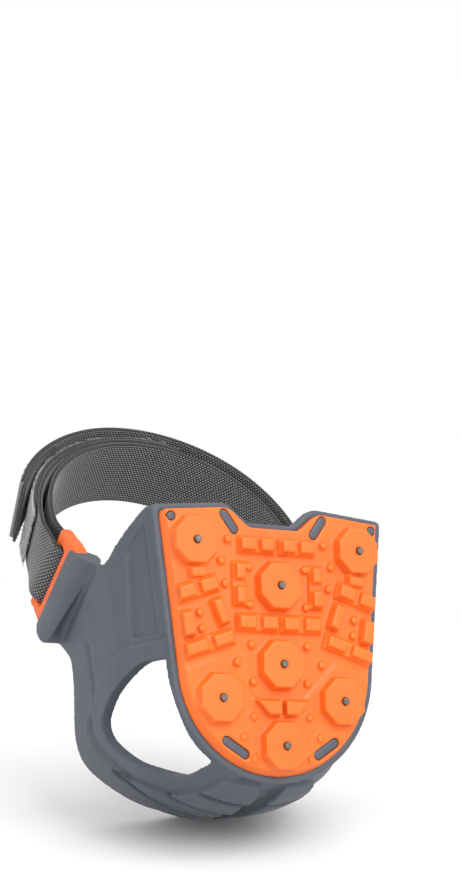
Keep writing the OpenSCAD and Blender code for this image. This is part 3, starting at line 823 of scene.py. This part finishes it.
class SPUR_OT_stage(bpy.types.Operator):
    """Set the camera, the pale floor and the soft studio light"""

    bl_idname = "spur.stage"
    bl_label = "Stage"

    # The camera, in metres, with its focal length for an image of this height in pixels
    camera_at = Vector((-0.31938, 0.07765, -0.54880))
    look = Vector((0.47591, -0.23370, 0.84788))
    up = Vector((-0.08859, -0.97188, -0.21815))
    sensor = 36
    focal_px = 2000
    image_h = 879

    # The floor, in metres
    floor_up = Vector((-0.146, -0.936, -0.320)).normalized()
    floor_gap = 0.0006
    floor_reach = 0.45

    # The lamps' widths in metres, and their directions to the right, up and back towards the camera
    key_w = 0.7
    key_from = Vector((0.55, 0.75, 0.75))
    fill_w = 0.9
    fill_from = Vector((-0.9, 0.35, 0.55))

    def execute(self, context):
        scene = context.scene
        light = scene.spur_light
        look = self.look.normalized()
        right = look.cross(self.up).normalized()
        turn = Matrix((right, right.cross(look), -look)).transposed()
        camera = bpy.data.objects.new("camera", bpy.data.cameras.new("camera"))
        scene.collection.objects.link(camera)
        camera.data.lens = self.sensor * self.focal_px / self.image_h
        camera.data.clip_start = 0.01
        camera.matrix_world = Matrix.Translation(self.camera_at) @ turn.to_4x4()
        scene.camera = camera
        self.floor(scene.spur_colours)
        self.lamp(scene, "key", light.key, self.key_w, turn @ self.key_from)
        self.lamp(scene, "fill", light.fill, self.fill_w, turn @ self.fill_from)
        world = bpy.data.worlds.new("surround")
        world.use_nodes = True
        world.node_tree.nodes["Background"].inputs["Color"].default_value = (1, 1, 1, 1)
        world.node_tree.nodes["Background"].inputs["Strength"].default_value = light.sky
        scene.world = world
        scene.view_settings.view_transform = "Standard"
        return {"FINISHED"}

    def floor(self, colours):
        """A pale floor behind the heel, where the spur rests as it is shown."""
        lowest = min(v.co.dot(self.floor_up) for v in NODES["heel_frame"].data.vertices)
        side = self.floor_up.orthogonal().normalized()
        ahead = self.floor_up.cross(side)
        corners = [(side * a + ahead * b) * self.floor_reach for a, b in ((-1, -1), (1, -1), (1, 1), (-1, 1))]
        pale = pale_floor("pale_floor", tuple(colours.floor), self.floor_reach)
        floor = new_piece("floor", corners, [(0, 1, 2, 3)], pale)
        floor.location = self.floor_up * (lowest - self.floor_gap)

    def lamp(self, scene, name, power, width, away):
        """A square soft light that faces the spur from one metre away."""
        data = bpy.data.lights.new(name, "AREA")
        data.energy = power
        data.size = width
        lamp = bpy.data.objects.new(name, data)
        scene.collection.objects.link(lamp)
        lamp.location = away.normalized()
        lamp.visible_camera = False
        lamp.rotation_mode = "QUATERNION"
        lamp.rotation_quaternion = (-away).to_track_quat("-Z", "Y")


class SPUR_OT_heel_cup(bpy.types.Operator):
    """Finish the moulded heel cup"""

    bl_idname = "spur.heel_cup"
    bl_label = "Heel cup"

    def execute(self, context):
        sizes, colours = context.scene.spur_sizes, context.scene.spur_colours
        cup = shaped_cup(NODES["heel_frame"], "heel_cup", sizes, passes=3)
        # edge sets the strength of the painted edge highlights and hollow shade
        dress(cup, moulded("grey_elastomer", colours.cup, rough=0.50, edge=0.9))
        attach(cup, "frame")
        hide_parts("heel_frame")
        return {"FINISHED"}


class SPUR_OT_tread_plate(bpy.types.Operator):
    """Finish the studded tread plate"""

    bl_idname = "spur.tread_plate"
    bl_label = "Tread plate"

    def execute(self, context):
        sizes, colours = context.scene.spur_sizes, context.scene.spur_colours
        plate = NODES["tread_plate"]
        rounded(plate, sizes.plate_grain, passes=3)
        # edge sets the strength of the painted edge highlights and hollow shade
        dress(plate, moulded("orange_rubber", colours.tread, rough=0.46, edge=0.7))
        return {"FINISHED"}


class SPUR_OT_studs(bpy.types.Operator):
    """Finish the stud bodies and their carbide tips"""

    bl_idname = "spur.studs"
    bl_label = "Studs"

    def execute(self, context):
        colours = context.scene.spur_colours
        steel = metal("turned_steel", colours.steel, rough=0.38)
        carbide = metal("ground_carbide", colours.carbide, rough=0.42)
        for names, width, material in ((STUD_NODES, 0.15, steel), (TIP_NODES, 0.12, carbide)):
            for name in names:
                eased_edges(NODES[name], width)
                dress(NODES[name], material)
        return {"FINISHED"}


class SPUR_OT_strap_loops(bpy.types.Operator):
    """Finish the two strap loops"""

    bl_idname = "spur.strap_loops"
    bl_label = "Strap loops"

    def execute(self, context):
        sizes, colours = context.scene.spur_sizes, context.scene.spur_colours
        # edge sets the strength of the painted edge highlights and hollow shade
        plastic = moulded("orange_plastic", colours.loops, rough=0.42, edge=0.7)
        for name in LOOP_NODES:
            rounded(NODES[name], sizes.loop_grain, passes=4)
            dress(NODES[name], plastic)
        return {"FINISHED"}


class SPUR_OT_webbing(bpy.types.Operator):
    """Weave the strap in three lengths that meet end to end"""

    bl_idname = "spur.webbing"
    bl_label = "Webbing"

    # The length that turns up from the right bar, a stretch of it from the bar, and half a stretch round the
    # place where the free end turns again, in millimetres
    turn_len = 22.0
    blend_len = 12.0
    bend_half = 11.0

    # Passes that ease the route where its arcs meet
    calm_passes = 30

    def execute(self, context):
        colours = context.scene.spur_colours
        strap = Strap(context.scene.spur_sizes)
        cloth = woven("woven_webbing", tuple(colours.yarn), tuple(colours.gap), tuple(colours.sealed))
        route = even(calm(even(strap.webbing(), ROUTE_STEP), self.calm_passes), strap.half_float)
        hinge = np.array([strap.bar_out, strap.hinge_gap])
        turn = int(np.argmin(np.linalg.norm(route - hinge, axis=1)))
        rest_up = turn + int(self.turn_len / strap.half_float)
        lengths = {
            "webbing_main": (0, turn),
            "webbing_turn": (turn, rest_up),
            "webbing_tail": (rest_up, len(route) - 1),
        }
        made = {}
        for name, (first, last) in lengths.items():
            made[name] = band(name, strap, route[first:last + 1], cloth, strap.half_w, strap.web_t / 2,
                              strap.half_yarn, strap.relief, first)
        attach(made["webbing_main"], "frame")
        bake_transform(made["webbing_turn"], "frame", "tail",
                 start=Vector(strap.place(strap.bar_out, 0, 0)),
                 end=Vector(strap.place(strap.bar_out, self.blend_len, 0)))
        bend = math.radians(strap.bend_at)
        middle = np.array(strap.arch) + strap.free_r * np.array([math.cos(bend), math.sin(bend)])
        along = self.bend_half * np.array([-math.sin(bend), math.cos(bend)])
        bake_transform(made["webbing_tail"], "tail", "flap",
                 start=Vector(strap.place(*(middle - along), 0)),
                 end=Vector(strap.place(*(middle + along), 0)))
        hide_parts("strap_main")
        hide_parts("strap_return")
        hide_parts("strap_flap")
        return {"FINISHED"}


class SPUR_OT_tapes(bpy.types.Operator):
    """Make the loop tape with its nap and the hook tape with its hooks"""

    bl_idname = "spur.tapes"
    bl_label = "Hook and loop tapes"

    # Both tapes, in millimetres
    step = 0.5
    relief = 0.12

    # The loop tape: its inset from the webbing's edges, and the stretch and share that it thins out by
    inset = 0.6
    thinning = 7.0
    thin_share = 0.35

    # The hook tape: its rounded end and the spacing of its hooks
    end_round = 2.5
    hook_pitch = 1.4

    def execute(self, context):
        colours = context.scene.spur_colours
        strap = Strap(context.scene.spur_sizes)
        self.loop_tape(strap, colours)
        self.hook_tape(strap, colours)
        return {"FINISHED"}

    def loop_tape(self, strap, colours):
        """Silky tape that thins out to its frayed free end."""
        silk = brushed("loop_pile", tuple(colours.pile), tuple(colours.ground))
        way = even(strap.loop_tape(), self.step)
        full = smooth(distances(way)[::-1] / self.thinning)
        half_t = strap.loop_t / 2 * (self.thin_share + (1 - self.thin_share) * full)
        half_w = strap.half_w - self.inset
        tape = band("loop_tape_pile", strap, way, silk, half_w, half_t, self.step, self.relief)
        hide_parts("loop_tape")
        fibres = nap(strap, way, half_w, half_t, count=5200, seed=7)
        fuzz = tubes("loop_tape_nap", fibres, radius=0.07, sides=3, material=silk)
        threads = fray(strap, way, half_w, count=70, seed=11)
        ends = tubes("loop_tape_fray", threads, radius=0.08, sides=3, material=silk)
        for piece in (tape, fuzz, ends):
            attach(piece, "frame")

    def hook_tape(self, strap, colours):
        """Hook tape with a rounded end past the webbing."""
        grip = brushed("hook_grip", tuple(colours.hooks), shade(colours.hooks, 0.6))
        way = even(strap.hook_tape(), self.step)
        to_end = np.minimum(distances(way)[::-1], self.end_round)
        corner = self.end_round - np.sqrt(self.end_round ** 2 - (self.end_round - to_end) ** 2)
        half_w = strap.half_w - corner
        half_t = strap.hook_t / 2
        tape = band("hook_tape_grip", strap, way, grip, half_w, half_t, self.step, self.relief)
        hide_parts("hook_tape")
        lines = hook_lines(strap, way, half_t, self.hook_pitch)
        hooks = tubes("hook_tape_hooks", lines, radius=0.09, sides=4, material=grip)
        for piece in (tape, hooks):
            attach(piece, "flap")


class SPUR_OT_stitches(bpy.types.Operator):
    """Sew the tapes on"""

    bl_idname = "spur.stitches"
    bl_label = "Stitches"

    # Distance of both rows from the webbing's edges, in millimetres
    margin = 1.6

    # The free end's rows: their start past its bend in degrees, and their gaps at both ends
    past_bend = 12
    tail_first, tail_last = 4, 1

    # The loop tape's rows: their gaps at both ends
    tape_first, tape_last = 1, 22

    def execute(self, context):
        colours = context.scene.spur_colours
        strap = Strap(context.scene.spur_sizes)
        cotton = brushed("sewing_thread", tuple(colours.thread), tuple(colours.thread))
        tail = strap.free_way(strap.free_lift, strap.free_len, strap.bend_at + self.past_bend)
        rows = self.rows(strap, tail, strap.web_t / 2, self.tail_first, self.tail_last)
        thread = tubes("tail_stitches", rows, radius=0.2, sides=6, material=cotton)
        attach(thread, "flap")
        rows = self.rows(strap, strap.loop_tape(), strap.loop_t / 2, self.tape_first, self.tape_last)
        thread = tubes("tape_stitches", rows, radius=0.2, sides=6, material=cotton)
        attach(thread, "frame")
        return {"FINISHED"}

    def rows(self, strap, route, height, first_gap, last_gap):
        """Lines of two rows of stitches, one along each edge of a band."""
        way = even(route, ROUTE_STEP)
        stop = ROUTE_STEP * (len(way) - 1) - last_gap
        aside = strap.half_w - self.margin
        return [line for edge in (-aside, aside) for line in seam(strap, way, height, edge, first_gap, stop)]


# The panel, and how the file runs

class SPUR_PT_panel(bpy.types.Panel):
    """The spur's pieces and its sizes"""

    bl_idname = "SPUR_PT_panel"
    bl_label = "Heel ice spur"
    bl_space_type = "VIEW_3D"
    bl_region_type = "UI"
    bl_category = "Ice Spur"

    def draw(self, context):
        for group, kind in GROUPS.items():
            box = self.layout.box()
            for name in kind.__annotations__:
                box.prop(getattr(context.scene, group), name)
        for operator in OPERATORS:
            self.layout.operator(operator.bl_idname)


OPERATORS = (
    SPUR_OT_stage, SPUR_OT_heel_cup, SPUR_OT_tread_plate, SPUR_OT_studs, SPUR_OT_strap_loops,
    SPUR_OT_webbing, SPUR_OT_tapes, SPUR_OT_stitches)
CLASSES = (*GROUPS.values(), *OPERATORS, SPUR_PT_panel)


def register():
    for cls in CLASSES:
        bpy.utils.register_class(cls)
    for group, kind in GROUPS.items():
        setattr(bpy.types.Scene, group, bpy.props.PointerProperty(type=kind))


def unregister():
    for group in GROUPS:
        delattr(bpy.types.Scene, group)
    for cls in reversed(CLASSES):
        bpy.utils.unregister_class(cls)


def main():
    """Makes every piece in order."""
    register()
    for operator in OPERATORS:
        group, name = operator.bl_idname.split(".")
        getattr(getattr(bpy.ops, group), name)()
    bpy.context.view_layer.update()


if __name__ == "__main__":
    main()
